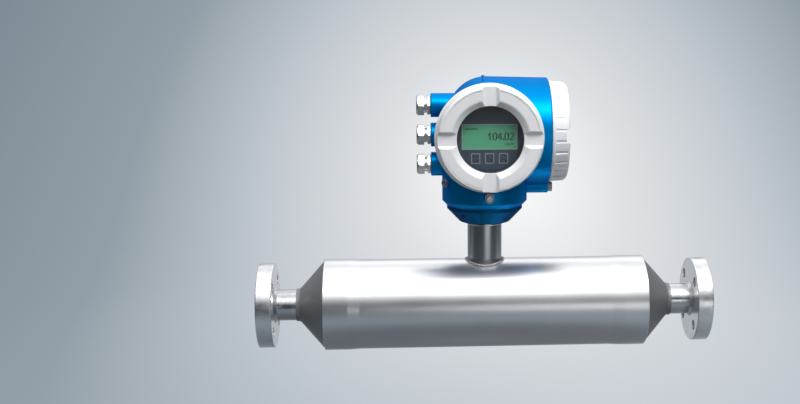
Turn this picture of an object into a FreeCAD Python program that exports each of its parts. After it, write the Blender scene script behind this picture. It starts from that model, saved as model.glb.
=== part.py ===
import FreeCAD, Part
import math
import os
import Sketcher

# Coriolis mass flow meter, DN 25, single straight tube, with a field transmitter on a neck.
# Row frame: X along the pipe towards the outlet, Z up, the display faces -Y,
# origin on the flow axis half-way between the two flange faces. Millimetres.

driving_sizes = {
    # flow line
    "face_to_face": 620, "bore_d": 24, "pipe_d": 42.2,
    "flange_d": 115, "flange_plate": 21, "flange_edge": 1.2,
    "raised_face_d": 68, "raised_face_step": 2,
    "bolt_circle_d": 85, "bolt_hole_d": 14,
    "weld_leg": 3.5,
    # sensor case
    "case_length": 438.4, "case_d": 122.6, "case_end_d": 124.4, "case_wall": 3,
    "case_collar": 33, "case_swage": 16, "case_edge": 0.8,
    "cone_d": 121, "cone_length": 33, "cone_seat": 8.2, "cone_land": 8.8, "cone_blend": 9, "cone_lip": 1,
    # inside the sensor case
    "bulkhead_inset": 8, "bulkhead_plate": 8, "tube_wall": 1.5,
    "carrier_d": 84, "carrier_wall": 3, "pickoff_spacing": 220,
    "coil_d": 20, "coil_stem_d": 16, "coil_cap_d": 22, "coil_cap": 2.5, "coil_slot": 1.5,
    "coil_height": 10, "magnet_d": 9, "magnet_length": 10, "coil_bore_d": 12,
    "clamp_ring_wall": 3.5, "clamp_ring_width": 12,
    "balance_d": 64, "balance_width": 40,
    "probe_d": 4, "probe_length": 16, "probe_offset": 60,
    # neck and holder
    "neck_d": 46.8, "neck_wall": 4, "neck_length": 49.8, "neck_weld": 3.2,
    "neck_ring_d": 50, "neck_ring_height": 3.2,
    "feedthrough_height": 6, "feedthrough_depth": 8, "pin_d": 1.6, "pin_length": 14, "pin_circle_d": 24,
    "holder_height": 22.8, "holder_d": 102.6, "holder_rim": 4.1, "holder_base_d": 67,
    "holder_base_edge": 6.5, "spigot_d": 67.8, "spigot_length": 13.4, "passage_d": 40,
    "holder_screw_d": 5, "holder_screw_length": 9, "holder_screw_up": 2.8,
    # transmitter housing
    "collar_d": 115.4, "collar_bevel": 6.9, "collar_height": 67.6, "collar_shoulder": 25,
    "collar_wall": 9, "collar_floor": 9.6,
    "axis_height": 96.6, "display_x": 2.8,
    "chamber_y": 28, "chamber_d": 152, "chamber_end_d": 148, "chamber_edge": 2.2,
    "chamber_wall": 6, "dome_x": 4.5, "dome_bend": 53.5, "connection_face_x": 88,
    "rib_x": 0, "rib_width": 3.2, "rib_height": 1.5, "rib_root": 1.8,
    "bowl_d": 139, "bowl_bend": 45, "bowl_depth": 88, "display_face": 58,
    "bowl_wall": 9.5, "seat_depth": 16,
    "partition_x": 33, "partition_wall": 5, "connection_d": 124,
    "thread_d": 128, "thread_length": 11.5, "ring_seat_d": 134.6, "ring_seat_depth": 3.1,
    "keel_width": 40, "keel_drop": 83.9, "keel_start_x": 15, "keel_edge": 8,
    "entry_d": 32.4, "entry_spacing": 40, "entry_drop": 1.8, "entry_y": 10, "entry_face_x": 72.5,
    "entry_root_x": 30, "entry_edge": 1.2,
    "pad_width": 15, "pad_depth": 8,
    # cable glands
    "gland_bore_d": 13, "gland_shank_d": 20, "gland_shank": 14, "washer_d": 24, "washer_height": 0.9,
    "gland_flats": 24.6, "gland_flange": 3.6, "gland_neck": 4.4, "gland_stub_d": 20.8,
    "gland_stub": 11, "gland_cup_depth": 7, "gland_cup_d": 17,
    "nut_flats": 26, "nut_length": 10.5, "nut_wall": 3.4, "nut_edge": 1.6,
    # covers
    "cover_d": 144, "cover_front_d": 133, "cover_depth": 27.7, "cover_rim": 5, "cover_rim_edge": 1.6,
    "cover_step": 2.2, "cover_shoulder": 3.2, "cover_face_edge": 3, "window_rim": 6,
    "window_land": 7.5, "window_land_edge": 5, "glass_d": 94, "glass": 8, "glass_lap": 3.5,
    "retainer": 4.4, "retainer_lip": 3, "cover_bore_d": 116, "groove": 0.9,
    "groove_d": 128, "face_groove": 1.6, "face_groove_depth": 1.2,
    "blind_cover_d": 140.4, "blind_grip_d": 138, "blind_front_d": 131, "blind_depth": 24.2,
    "blind_rim": 3.2, "blind_plate": 5.2, "blind_recess_d": 100, "blind_recess": 6,
    "grip_count": 28, "grip_groove": 1.5, "grip_width": 5.2, "grip_floor": 2.6,
    "notch_floor": 15, "notch_mouth": 23, "notch_depth": 5.4,
    "ring_section": 2.8, "ring_bore_d": 128.4,
    # display and electronics
    "carrier_plate": 3.9, "carrier_hole_d": 24,
    "module_d": 104, "module_depth": 15.4, "module_edge": 1.5, "face_plate": 1,
    "lcd_width": 71, "lcd_height": 31.6, "lcd_up": 2, "lcd_depth": 0.7,
    "key_width": 11.8, "key_height": 13.4, "key_pitch": 18.2, "key_down": 26.3, "key_groove": 0.5,
    "electronics_d": 104, "electronics_depth": 40, "electronics_edge": 4,
    "block_width": 84, "block_height": 46, "block_depth": 18, "block_step": 6,
    "terminal_d": 6, "terminal_height": 1.6, "terminal_pitch": 13, "terminal_row_gap": 26,
    # cover clamps and earth terminal
    "clamp_width": 12, "clamp_reach": 7.5, "clamp_plate": 7.2,
    "clamp_screw_d": 5, "clamp_head_d": 8.4, "clamp_head": 4, "clamp_socket": 4,
    "clamp_screw_depth": 10, "clamp_counterbore_d": 9.2,
    "earth_up": 33.6, "earth_pad_d": 13, "earth_pad": 1.8, "earth_screw_d": 4, "earth_head_d": 8.4,
    "earth_head": 3, "earth_plate": 2.2, "earth_plate_d": 12, "earth_depth": 7,
    # clearances
    "gap": 0.3, "running": 0.08, "seat": 0.1,
}

# unit vectors in plan of the earth terminal and of the holder's locking screw
earth_direction = (-0.885, -0.4656)
lock_direction = (-0.661, -0.750)
across_corners = 2 / math.sqrt(3)
bolt_count = 4
bolt_offset = math.sqrt(0.5)
notch_count = 4
pin_count = 8
terminals_in_row = 5

doc = FreeCAD.newDocument("flow_meter")
sheet = doc.addObject("Spreadsheet::Sheet", "Sizes")
vector = FreeCAD.Vector
nodes = {}


class Size:
    """A number together with the spreadsheet formula that gives it."""

    def __init__(self, value, formula):
        self.value = value
        self.formula = formula

    def join(self, other, sign, value):
        return Size(value, f"({self.formula} {sign} {formula_of(other)})")

    def __add__(self, other):
        return self.join(other, "+", self.value + value_of(other))

    def __sub__(self, other):
        return self.join(other, "-", self.value - value_of(other))

    def __mul__(self, other):
        return self.join(other, "*", self.value * value_of(other))

    def __truediv__(self, other):
        return self.join(other, "/", self.value / value_of(other))

    def __neg__(self):
        return Size(-self.value, f"(0 - {self.formula})")

    def __radd__(self, other):
        return self + other

    def __rmul__(self, other):
        return self * other


def value_of(size):
    return size.value if isinstance(size, Size) else size


def formula_of(size):
    return size.formula if isinstance(size, Size) else repr(float(size))


class Sheet:
    """The spreadsheet's cells, as attributes named by their aliases."""

    def __init__(self, sizes):
        for row, (alias, number) in enumerate(sizes.items(), 1):
            cell = f"A{row}"
            sheet.set(cell, str(number))
            sheet.setAlias(cell, alias)
            setattr(self, alias, Size(float(number), f"Sizes.{alias}"))


s = Sheet(driving_sizes)
doc.recompute()

# turns that bring a turned piece's own X, or a cylinder's own Z, to the named direction
turned_to = {
    "x": FreeCAD.Rotation(),
    "-x": FreeCAD.Rotation(vector(0, 0, 1), 180),
    "-y": FreeCAD.Rotation(vector(0, 0, 1), -90),
    "z": FreeCAD.Rotation(vector(0, 1, 0), -90),
}
drilled_to = {
    "x": FreeCAD.Rotation(vector(0, 1, 0), 90),
    "-x": FreeCAD.Rotation(vector(0, 1, 0), -90),
    "-y": FreeCAD.Rotation(vector(1, 0, 0), 90),
    "z": FreeCAD.Rotation(),
}


# brings a hexagon's first corner from the local X to the local Y direction
corner_level = FreeCAD.Rotation(vector(0, 0, 1), 90)


def bind(obj, name, size):
    obj.setExpression(name, formula_of(size))


def place(obj, at, rotation):
    obj.Placement = FreeCAD.Placement(vector(), rotation)
    for letter, size in zip("xyz", at):
        if value_of(size) != 0 or isinstance(size, Size):
            bind(obj, f".Placement.Base.{letter}", size)


def origin_plane(body, role):
    return next(f for f in body.Origin.OriginFeatures if f.Role == role)


def new_sketch(body, name, role="XY_Plane"):
    sketch = body.newObject("Sketcher::SketchObject", name)
    sketch.AttachmentSupport = (origin_plane(body, role), [""])
    sketch.MapMode = "FlatFace"
    return sketch


def constrain(sketch, kind, *where):
    """Add one constraint; a Size as its last argument is bound to the sheet."""
    size = where[-1]
    numbers = [value_of(w) for w in where]
    index = sketch.addConstraint(Sketcher.Constraint(kind, *numbers))
    if isinstance(size, Size):
        bind(sketch, f"Constraints[{index}]", size)


def fix_point(sketch, geometry, end, across, up):
    """Hold one point at its two distances; a plain 0 puts it on the axis."""
    for kind, size, axis in (("DistanceX", across, -2), ("DistanceY", up, -1)):
        if isinstance(size, Size):
            constrain(sketch, kind, -1, 1, geometry, end, size)
        elif size == 0:
            constrain(sketch, "PointOnObject", geometry, end, axis)
        else:
            constrain(sketch, kind, -1, 1, geometry, end, float(size))


def draw_outline(sketch, outline):
    """Draw a closed outline of (across, up, corner radius) points, with round corners as arcs."""
    points = [vector(value_of(p[0]), value_of(p[1]), 0) for p in outline]
    radii = [p[2] if len(p) > 2 else None for p in outline]
    count = len(points)
    entries, exits, arcs = [], [], {}
    for i, corner in enumerate(points):
        if radii[i] is None:
            entries.append(corner)
            exits.append(corner)
            continue
        back = (points[i - 1] - corner).normalize()
        ahead = (points[(i + 1) % count] - corner).normalize()
        half = back.getAngle(ahead) / 2
        radius = value_of(radii[i])
        entries.append(corner + back * (radius / math.tan(half)))
        exits.append(corner + ahead * (radius / math.tan(half)))
        centre = corner + (back + ahead).normalize() * (radius / math.sin(half))
        turns_left = back.cross(ahead).z < 0
        ends = (entries[i], exits[i]) if turns_left else (exits[i], entries[i])
        first, last = (math.atan2(e.y - centre.y, e.x - centre.x) for e in ends)
        circle = Part.Circle(centre, vector(0, 0, 1), radius)
        arcs[i] = (Part.ArcOfCircle(circle, first, last), (1, 2) if turns_left else (2, 1))
    for i in range(count):
        sketch.addGeometry(Part.LineSegment(exits[i], entries[(i + 1) % count]))
    for i, corner in enumerate(points):
        before = (i - 1) % count
        if i not in arcs:
            constrain(sketch, "Coincident", before, 2, i, 1)
            fix_point(sketch, i, 1, outline[i][0], outline[i][1])
            continue
        arc, (start, end) = arcs[i]
        arc_index = sketch.addGeometry(arc)
        mark = sketch.addGeometry(Part.Point(corner), True)
        constrain(sketch, "Tangent", before, 2, arc_index, start)
        constrain(sketch, "Tangent", arc_index, end, i, 1)
        constrain(sketch, "Radius", arc_index, radii[i])
        constrain(sketch, "PointOnObject", mark, 1, before)
        constrain(sketch, "PointOnObject", mark, 1, i)
        fix_point(sketch, mark, 1, outline[i][0], outline[i][1])


def turned(name, outline, at=(0, 0, 0), direction="x", angle=360):
    """A turned piece: the outline's first number runs along the axis, its second is a radius."""
    body = doc.addObject("PartDesign::Body", name)
    sketch = new_sketch(body, name + "_profile")
    draw_outline(sketch, outline)
    turning = body.newObject("PartDesign::Revolution", name + "_turning")
    turning.Profile = sketch
    turning.ReferenceAxis = (sketch, ["H_Axis"])
    turning.Angle = angle
    turning.Midplane = angle != 360
    body.Tip = turning
    place(body, at, turned_to[direction])
    return body


def ring(name, inner_d, outer_d, start, end, at=(0, 0, 0), direction="x", edge=None):
    """A plain tube or washer between two stations of its axis, with its outer edges eased."""
    corner = () if edge is None else (edge,)
    outline = [(start, inner_d / 2), (end, inner_d / 2),
               (end, outer_d / 2, *corner), (start, outer_d / 2, *corner)]
    return turned(name, outline, at, direction)


def pad(name, outline, length, at, role="YZ_Plane", both_ways=False):
    """A prism of an outline, from a plane of its body along that plane's normal."""
    body = doc.addObject("PartDesign::Body", name)
    sketch = new_sketch(body, name + "_outline", role)
    draw_outline(sketch, outline)
    prism = body.newObject("PartDesign::Pad", name + "_pad")
    prism.Profile = sketch
    bind(prism, "Length", length)
    prism.Midplane = both_ways
    body.Tip = prism
    place(body, at, FreeCAD.Rotation())
    return body


def pocket(body, sketch, length=None, upward=False):
    """Cut a sketch through the body, or to a length on the side given by upward."""
    before = volume_of(body)
    cut = body.newObject("PartDesign::Pocket", sketch.Name + "_pocket")
    cut.Profile = sketch
    if length is None:
        cut.Type = "ThroughAll"
        cut.Midplane = True
    else:
        bind(cut, "Length", length)
        cut.Reversed = upward
    body.Tip = cut
    if volume_of(body) >= before:
        raise RuntimeError(cut.Name + " removes nothing")
    return cut


def volume_of(body):
    doc.recompute()
    return body.Shape.Volume


def pattern(body, feature, count, axis_of):
    """Repeat a cut round the body's own X axis."""
    polar = body.newObject("PartDesign::PolarPattern", feature.Name + "_pattern")
    polar.Originals = [feature]
    polar.Axis = (axis_of, ["H_Axis"])
    polar.Angle = 360
    if isinstance(count, Size):
        bind(polar, "Occurrences", count)
    else:
        polar.Occurrences = count
    body.Tip = polar
    return polar


def drill(name, diameter, length, at, direction="z", radial=None):
    """A plain cylinder that starts at a point and runs in a direction."""
    cylinder = doc.addObject("Part::Cylinder", name)
    bind(cylinder, "Radius", diameter / 2)
    bind(cylinder, "Height", length)
    rotation = drilled_to[direction]
    if radial:
        rotation = FreeCAD.Rotation(vector(0, 0, 1), vector(radial[0], radial[1], 0))
    place(cylinder, at, rotation)
    return cylinder


def hexagon(name, flats, length, at, direction="z", radial=None):
    prism = doc.addObject("Part::Prism", name)
    prism.Polygon = 6
    bind(prism, "Circumradius", flats / 2 * across_corners)
    bind(prism, "Height", length)
    rotation = drilled_to[direction]
    if radial:
        rotation = FreeCAD.Rotation(vector(0, 0, 1), vector(radial[0], radial[1], 0))
    place(prism, at, rotation * corner_level)
    return prism


def block(name, low, spans):
    box = doc.addObject("Part::Box", name)
    for side, span in zip(("Length", "Width", "Height"), spans):
        bind(box, side, span)
    place(box, low, FreeCAD.Rotation())
    return box


def joined(name, pieces):
    fusion = doc.addObject("Part::MultiFuse", name)
    fusion.Shapes = pieces
    fusion.Refine = True
    return fusion


def cut(name, base, tools):
    """Base less one tool, or less several joined tools."""
    result = doc.addObject("Part::Cut", name)
    result.Base = base
    result.Tool = tools[0] if len(tools) == 1 else joined(name + "_tools", tools)
    result.Refine = True
    return result


def shared(name, base, tool):
    result = doc.addObject("Part::Common", name)
    result.Base = base
    result.Tool = tool
    return result


def group(name, pieces):
    compound = doc.addObject("Part::Compound", name)
    compound.Links = pieces
    return compound


def keep(name, obj):
    """Give a finished piece its node name."""
    obj.Label = name
    nodes[name] = obj
    return obj


# Stations along the flow line, from the middle outwards
half_length = s.face_to_face / 2
plate_front = half_length - s.raised_face_step
plate_back = plate_front - s.flange_plate
hub_end = plate_back - s.weld_leg
case_end = s.case_length / 2
bulkhead_out = case_end - s.bulkhead_inset
bulkhead_in = bulkhead_out - s.bulkhead_plate
case_bore_d = s.case_d - s.case_wall * 2

# Stations up the neck and the transmitter
neck_top = s.case_d / 2 + s.neck_length
holder_base = neck_top + s.neck_ring_height
holder_top = holder_base + s.holder_height
housing_base = holder_top + s.gap
axis_z = housing_base + s.axis_height
chamber_at = (0, s.chamber_y, axis_z)
display_at = (s.display_x, 0, axis_z)


def flange(name, direction):
    face_r = s.raised_face_d / 2
    outline = [(hub_end, s.bore_d / 2), (half_length, s.bore_d / 2), (half_length, face_r),
               (plate_front, face_r), (plate_front, s.flange_d / 2, s.flange_edge),
               (plate_back, s.flange_d / 2, s.flange_edge),
               (plate_back, s.pipe_d / 2 + s.weld_leg), (hub_end, s.pipe_d / 2)]
    body = turned(name, outline, direction=direction)
    holes = new_sketch(body, name + "_bolt_hole", "YZ_Plane")
    reach = s.bolt_circle_d / 2 * bolt_offset
    centre = vector(reach.value, reach.value, 0)
    holes.addGeometry(Part.Circle(centre, vector(0, 0, 1), s.bolt_hole_d.value / 2))
    fix_point(holes, 0, 3, reach, reach)
    constrain(holes, "Diameter", 0, s.bolt_hole_d)
    hole = pocket(body, holes)
    pattern(body, hole, bolt_count, body.Group[0])
    keep(name, body)


def cone(name, direction):
    lip_r = s.pipe_d / 2 + s.seat + s.cone_lip
    cone_end = case_end + s.cone_length
    outline = [(case_end, s.cone_d / 2), (cone_end - s.cone_blend / 2, lip_r, s.cone_blend),
               (cone_end, lip_r), (cone_end, s.pipe_d / 2 + s.seat),
               (cone_end - s.cone_seat, s.pipe_d / 2 + s.seat),
               (case_end, s.cone_d / 2 - s.cone_land)]
    keep(name, turned(name, outline, direction=direction))


def flow_line():
    for side, direction in (("inlet", "-x"), ("outlet", "x")):
        flange(side + "_flange", direction)
        keep(side + "_pipe", ring(side + "_pipe", s.bore_d, s.pipe_d, bulkhead_in, hub_end,
                                  direction=direction))
        cone(side + "_cone", direction)
        keep(side + "_bulkhead",
             ring(side + "_bulkhead", s.pipe_d + s.seat * 2, case_bore_d - s.seat * 2,
                  bulkhead_in, bulkhead_out, direction=direction))
    keep("measuring_tube", ring("measuring_tube", s.bore_d, s.bore_d + s.tube_wall * 2,
                                -bulkhead_in, bulkhead_in))


def sensor_case():
    collar_start = case_end - s.case_collar
    swage_start = collar_start - s.case_swage
    end_r, mid_r = s.case_end_d / 2, s.case_d / 2
    outline = [(-case_end, case_bore_d / 2), (case_end, case_bore_d / 2),
               (case_end, end_r, s.case_edge), (collar_start, end_r),
               (swage_start, mid_r), (-swage_start, mid_r),
               (-collar_start, end_r), (-case_end, end_r, s.case_edge)]
    body = turned("sensor_case", outline)
    opening = new_sketch(body, "case_opening", "XY_Plane")
    neck_bore = s.neck_d - s.neck_wall * 2
    opening.addGeometry(Part.Circle(vector(), vector(0, 0, 1), neck_bore.value / 2))
    constrain(opening, "Coincident", 0, 3, -1, 1)
    constrain(opening, "Diameter", 0, neck_bore)
    pocket(body, opening, s.case_end_d, upward=True)
    keep("sensor_case", body)


def measuring_parts():
    """What lies between the bulkheads: the carrier tube, coils, magnets, weight and probes."""
    carrier_r = s.carrier_d / 2
    blank = ring("carrier_blank", s.carrier_d - s.carrier_wall * 2, s.carrier_d,
                 -bulkhead_in + s.seat, bulkhead_in - s.seat)
    stations = {"drive": Size(0.0, "0"), "inlet_pickoff": -s.pickoff_spacing / 2,
                "outlet_pickoff": s.pickoff_spacing / 2}
    holes = [drill(f"{name}_hole", s.coil_stem_d + s.seat * 2, s.carrier_d, (x, 0, 0))
             for name, x in stations.items()]
    keep("carrier_tube", cut("carrier_tube", blank, holes))
    tube_r = s.bore_d / 2 + s.tube_wall
    ring_r = tube_r + s.seat + s.clamp_ring_wall
    magnet_base = ring_r + s.seat
    coil_base = magnet_base + s.magnet_length - s.coil_height
    cap_base = carrier_r + s.seat
    groove_r = s.coil_d / 2 - s.coil_slot
    rings = []
    for name, x in stations.items():
        outline = [(coil_base, s.coil_bore_d / 2), (coil_base, s.coil_d / 2),
                   (coil_base + s.coil_slot, s.coil_d / 2), (coil_base + s.coil_slot, groove_r),
                   (coil_base + s.coil_height - s.coil_slot, groove_r),
                   (coil_base + s.coil_height - s.coil_slot, s.coil_d / 2),
                   (coil_base + s.coil_height, s.coil_d / 2),
                   (coil_base + s.coil_height, s.coil_stem_d / 2),
                   (cap_base, s.coil_stem_d / 2), (cap_base, s.coil_cap_d / 2),
                   (cap_base + s.coil_cap, s.coil_cap_d / 2), (cap_base + s.coil_cap, 0),
                   (coil_base + s.coil_height + s.coil_slot, 0),
                   (coil_base + s.coil_height + s.coil_slot, s.coil_bore_d / 2)]
        keep(f"{name}_coil", turned(f"{name}_coil", outline, (x, 0, 0), "z"))
        keep(f"{name}_magnet", drill(f"{name}_magnet", s.magnet_d, s.magnet_length,
                                     (x, 0, magnet_base)))
        rings.append(ring(f"{name}_ring", tube_r * 2 + s.seat * 2, ring_r * 2,
                          -s.clamp_ring_width / 2, s.clamp_ring_width / 2, (x, 0, 0)))
    keep("magnet_clamps", group("magnet_clamps", rings))
    weight = [(-s.balance_width / 2, ring_r + s.seat), (s.balance_width / 2, ring_r + s.seat),
              (s.balance_width / 2, s.balance_d / 2), (-s.balance_width / 2, s.balance_d / 2)]
    body = turned("balance_weight", weight, angle=180)
    body.Placement.Rotation = FreeCAD.Rotation(vector(1, 0, 0), -90)
    keep("balance_weight", body)
    for name, radius in (("tube_temperature_probe", tube_r), ("case_temperature_probe", carrier_r)):
        keep(name, drill(name, s.probe_d, s.probe_length,
                         (s.probe_offset, 0, radius + s.probe_d / 2 + s.seat), "x"))


def neck_and_holder():
    neck_r = s.neck_d / 2
    inner_r = neck_r - s.neck_wall
    foot = s.case_d / 2 - neck_r / 2
    seat_top = s.case_d / 2 + s.neck_weld
    outline = [(foot, inner_r), (neck_top, inner_r), (neck_top, neck_r), (seat_top, neck_r),
               (foot, neck_r + s.neck_weld)]
    blank = turned("neck_blank", outline, direction="z")
    saddle = drill("neck_saddle", s.case_d + s.seat, s.case_length,
                   (-case_end, 0, 0), "x")
    keep("neck_tube", cut("neck_tube", blank, [saddle]))
    keep("neck_ring", ring("neck_ring", inner_r * 2, s.neck_ring_d, neck_top, holder_base,
                           direction="z", edge=s.case_edge))

    plate_top = neck_top - s.feedthrough_depth
    plate_base = plate_top - s.feedthrough_height
    plate = drill("feedthrough_plate", inner_r * 2 - s.seat * 2, s.feedthrough_height,
                  (0, 0, plate_base))
    pins = []
    for i in range(pin_count):
        angle = 2 * math.pi * i / pin_count
        at = (s.pin_circle_d / 2 * math.cos(angle), s.pin_circle_d / 2 * math.sin(angle),
              plate_base - (s.pin_length - s.feedthrough_height) / 2)
        pins.append(drill(f"feedthrough_pin_{i}", s.pin_d, s.pin_length, at))
    keep("feedthrough", joined("feedthrough", [plate] + pins))

    rim_base = holder_top - s.holder_rim
    socket_base = holder_top - s.gap - s.spigot_length
    socket_r = s.spigot_d / 2 + s.running
    outline = [(holder_base, s.passage_d / 2), (holder_base, s.holder_base_d / 2, s.holder_base_edge),
               (rim_base, s.holder_d / 2), (holder_top, s.holder_d / 2, s.case_edge),
               (holder_top, socket_r), (socket_base, socket_r), (socket_base, s.passage_d / 2)]
    blank = turned("holder_blank", outline, direction="z")
    screw_z = socket_base + s.holder_screw_up
    inner = socket_r - s.running + s.gap
    along = [inner * part for part in lock_direction]
    hole_start = [(inner - s.holder_screw_d) * part for part in lock_direction]
    hole = drill("lock_hole", s.holder_screw_d + s.seat * 2, s.holder_d / 2,
                 (*hole_start, screw_z), radial=lock_direction)
    keep("transmitter_holder", cut("transmitter_holder", blank, [hole]))
    screw = drill("lock_screw_blank", s.holder_screw_d, s.holder_screw_length,
                  (*along, screw_z), radial=lock_direction)
    depth = inner + s.holder_screw_length / 2
    socket = hexagon("lock_screw_socket", s.holder_screw_d / 2, s.holder_screw_length,
                     (depth * lock_direction[0], depth * lock_direction[1], screw_z),
                     radial=lock_direction)
    keep("holder_screw", cut("holder_screw", screw, [socket]))


entry_names = ("upper", "middle", "lower")
entry_steps = (1, 0, -1)


def entry_at(step, x=0):
    return (x, s.entry_y, axis_z - s.entry_drop + s.entry_spacing * step)


# Centres of the two clamp screws, just under each cover's rim
front_screw_z = axis_z - s.cover_d / 2 - s.gap - s.clamp_reach
side_screw_z = axis_z - s.blind_cover_d / 2 - s.gap - s.clamp_reach
pad_front = s.display_face + s.seat
earth_z = housing_base + s.earth_up
earth_pad_r = s.collar_d / 2 + s.earth_pad


def earth_at(radius):
    return (radius * earth_direction[0], radius * earth_direction[1], earth_z)


def housing_outside():
    collar_r = s.collar_d / 2
    chamber_r = s.chamber_d / 2
    dome_left = s.dome_x - s.dome_bend
    chamber = turned("housing_chamber", [
        (dome_left, 0), (dome_left, chamber_r, s.dome_bend), (s.dome_x + s.seat, chamber_r),
        (s.connection_face_x, s.chamber_end_d / 2, s.chamber_edge), (s.connection_face_x, 0)],
        chamber_at)
    foot = s.rib_width / 2 + s.rib_root
    rib_top = chamber_r + s.rib_height
    rib = turned("housing_rib", [
        (s.rib_x - foot, chamber_r - s.rib_root * 2), (s.rib_x - s.rib_width / 2, rib_top),
        (s.rib_x + s.rib_width / 2, rib_top), (s.rib_x + foot, chamber_r - s.rib_root * 2)],
        chamber_at)
    bowl = turned("housing_bowl", [
        (s.display_face - s.bowl_depth, 0), (s.display_face - s.bowl_depth, s.bowl_d / 2, s.bowl_bend),
        (s.display_face, s.bowl_d / 2, s.case_edge), (s.display_face, 0)], display_at, "-y")
    collar = turned("housing_collar", [
        (-s.spigot_length, 0), (-s.spigot_length, s.spigot_d / 2), (0, s.spigot_d / 2),
        (0, s.holder_d / 2), (s.collar_bevel, collar_r),
        (s.collar_height, collar_r, s.collar_shoulder), (s.collar_height, 0)],
        (0, 0, housing_base), "z")
    half = s.keel_width / 2
    keel = pad("housing_keel", [
        (-half, 0), (-half, -s.keel_drop, s.keel_edge), (half, -s.keel_drop, s.keel_edge), (half, 0)],
        s.connection_face_x - s.keel_start_x, (s.keel_start_x, s.chamber_y, axis_z))
    bosses = [ring(f"entry_boss_{name}", s.gland_shank_d + s.running * 2, s.entry_d,
                   s.entry_root_x, s.entry_face_x, entry_at(step), "-x", s.entry_edge)
              for name, step in zip(entry_names, entry_steps)]
    front_pad = block("clamp_pad", (s.display_x - s.pad_width / 2, -pad_front + s.seat,
                                    front_screw_z - s.clamp_reach),
                      (s.pad_width, s.pad_depth, s.clamp_reach * 2))
    earth_pad = drill("earth_pad", s.earth_pad_d, s.collar_wall, earth_at(earth_pad_r - s.collar_wall),
                      radial=earth_direction)
    return joined("housing_outside", [chamber, rib, bowl, collar, keel, *bosses, front_pad, earth_pad])


def housing_inside():
    bowl_r = s.bowl_d / 2 - s.bowl_wall
    seat_depth = s.display_face - s.seat_depth
    bowl_back = s.display_face - s.bowl_depth + s.chamber_wall
    bowl_room = turned("display_room", [
        (bowl_back, 0), (bowl_back, bowl_r, s.bowl_bend - s.chamber_wall),
        (seat_depth + s.seat, bowl_r), (seat_depth + s.seat, 0)], display_at, "-y")
    reach = s.bowl_d
    left_half = block("display_room_limit", (s.partition_x - reach * 2, -reach, axis_z - reach),
                      (reach * 2, reach * 2, reach * 2))
    display_room = shared("display_room_cut", bowl_room, left_half)
    dome_in = s.dome_x - s.dome_bend + s.chamber_wall
    dome_room = turned("dome_room", [
        (dome_in, 0), (dome_in, s.chamber_d / 2 - s.chamber_wall, s.dome_bend - s.chamber_wall),
        (s.partition_x, s.chamber_d / 2 - s.chamber_wall), (s.partition_x, 0)], chamber_at)
    thread_r = s.thread_d / 2 + s.running
    seat_r = s.ring_seat_d / 2
    display_mouth = turned("display_mouth", [
        (seat_depth, 0), (seat_depth, thread_r), (s.display_face - s.ring_seat_depth, thread_r),
        (s.display_face - s.ring_seat_depth, seat_r), (s.display_face + s.seat, seat_r),
        (s.display_face + s.seat, 0)], display_at, "-y")
    face = s.connection_face_x
    connection_room = turned("connection_room", [
        (s.partition_x + s.partition_wall, 0), (s.partition_x + s.partition_wall, s.connection_d / 2),
        (face - s.thread_length - s.gap * 3, s.connection_d / 2),
        (face - s.thread_length - s.gap * 3, thread_r),
        (face - s.ring_seat_depth, thread_r), (face - s.ring_seat_depth, seat_r),
        (face + s.seat, seat_r), (face + s.seat, 0)], chamber_at)
    passage = drill("wire_passage", s.passage_d, s.spigot_length + s.axis_height / 2,
                    (0, 0, housing_base - s.spigot_length - s.seat))
    collar_room = drill("collar_room", s.collar_d - s.collar_wall * 2,
                        s.collar_height - s.collar_shoulder - s.collar_floor,
                        (0, 0, housing_base + s.collar_floor))
    bores = [drill(f"entry_bore_{name}", s.gland_shank_d + s.running * 2,
                   s.entry_face_x - s.entry_root_x + s.seat * 2,
                   entry_at(step, -s.entry_face_x - s.seat), "x")
             for name, step in zip(entry_names, entry_steps)]
    screw_hole = s.clamp_screw_d + s.seat * 2
    front_hole = drill("front_clamp_hole", screw_hole, s.clamp_screw_depth + s.seat * 2,
                       (s.display_x, -pad_front + s.clamp_screw_depth, front_screw_z), "-y")
    side_hole = drill("side_clamp_hole", screw_hole, s.clamp_screw_depth + s.seat * 2,
                      (face - s.clamp_screw_depth, s.chamber_y, side_screw_z), "x")
    earth_hole = drill("earth_hole", s.earth_screw_d + s.seat * 2, s.earth_depth + s.seat * 2,
                       earth_at(earth_pad_r - s.earth_depth), radial=earth_direction)
    return [display_room, dome_room, display_mouth, connection_room, passage, collar_room,
            *bores, front_hole, side_hole, earth_hole]


def housing():
    keep("transmitter_housing", cut("transmitter_housing", housing_outside(), housing_inside()))


def notch(body, front, depth_side, reach):
    """One flared finger notch across a cover's face, as a cut from its axis outwards."""
    sketch = new_sketch(body, body.Name + "_notch", "XZ_Plane")
    floor = front - s.notch_depth
    over = front + s.gap
    widen = s.notch_mouth / 2
    draw_outline(sketch, [(floor, -s.notch_floor / 2), (over, -widen), (over, widen),
                          (floor, s.notch_floor / 2)])
    return pocket(body, sketch, reach, upward=depth_side)


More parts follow.
